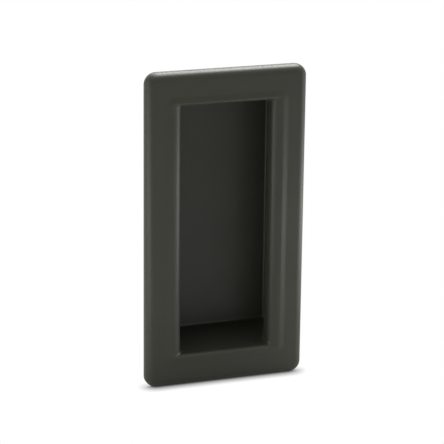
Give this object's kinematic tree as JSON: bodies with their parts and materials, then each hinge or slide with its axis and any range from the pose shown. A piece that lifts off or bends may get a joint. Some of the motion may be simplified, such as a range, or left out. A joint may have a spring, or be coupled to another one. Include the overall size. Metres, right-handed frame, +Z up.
{
  "type": "flush pull handle",
  "caption": "Rectangular flush pull: a rounded plate with a soft raised rim around a finger recess that is undercut along its long sides, snapping into a panel cut-out from the front.",
  "frame": {"origin": "middle of the seat, the plane where the back of the plate lies against the panel", "axes": "+Y back into the panel, so the front faces -Y; +Z up the plate's height; +X across it, to the right seen from the front"},
  "size_m": [0.062, 0.0222, 0.12],
  "materials": {
    "moulded_plastic": "fine matt mould texture, dark grey, glass-fibre filled polyamide"
  },
  "bodies": {
    "root": {"pull_handle": "moulded_plastic"}
  },
  "joints": []
}
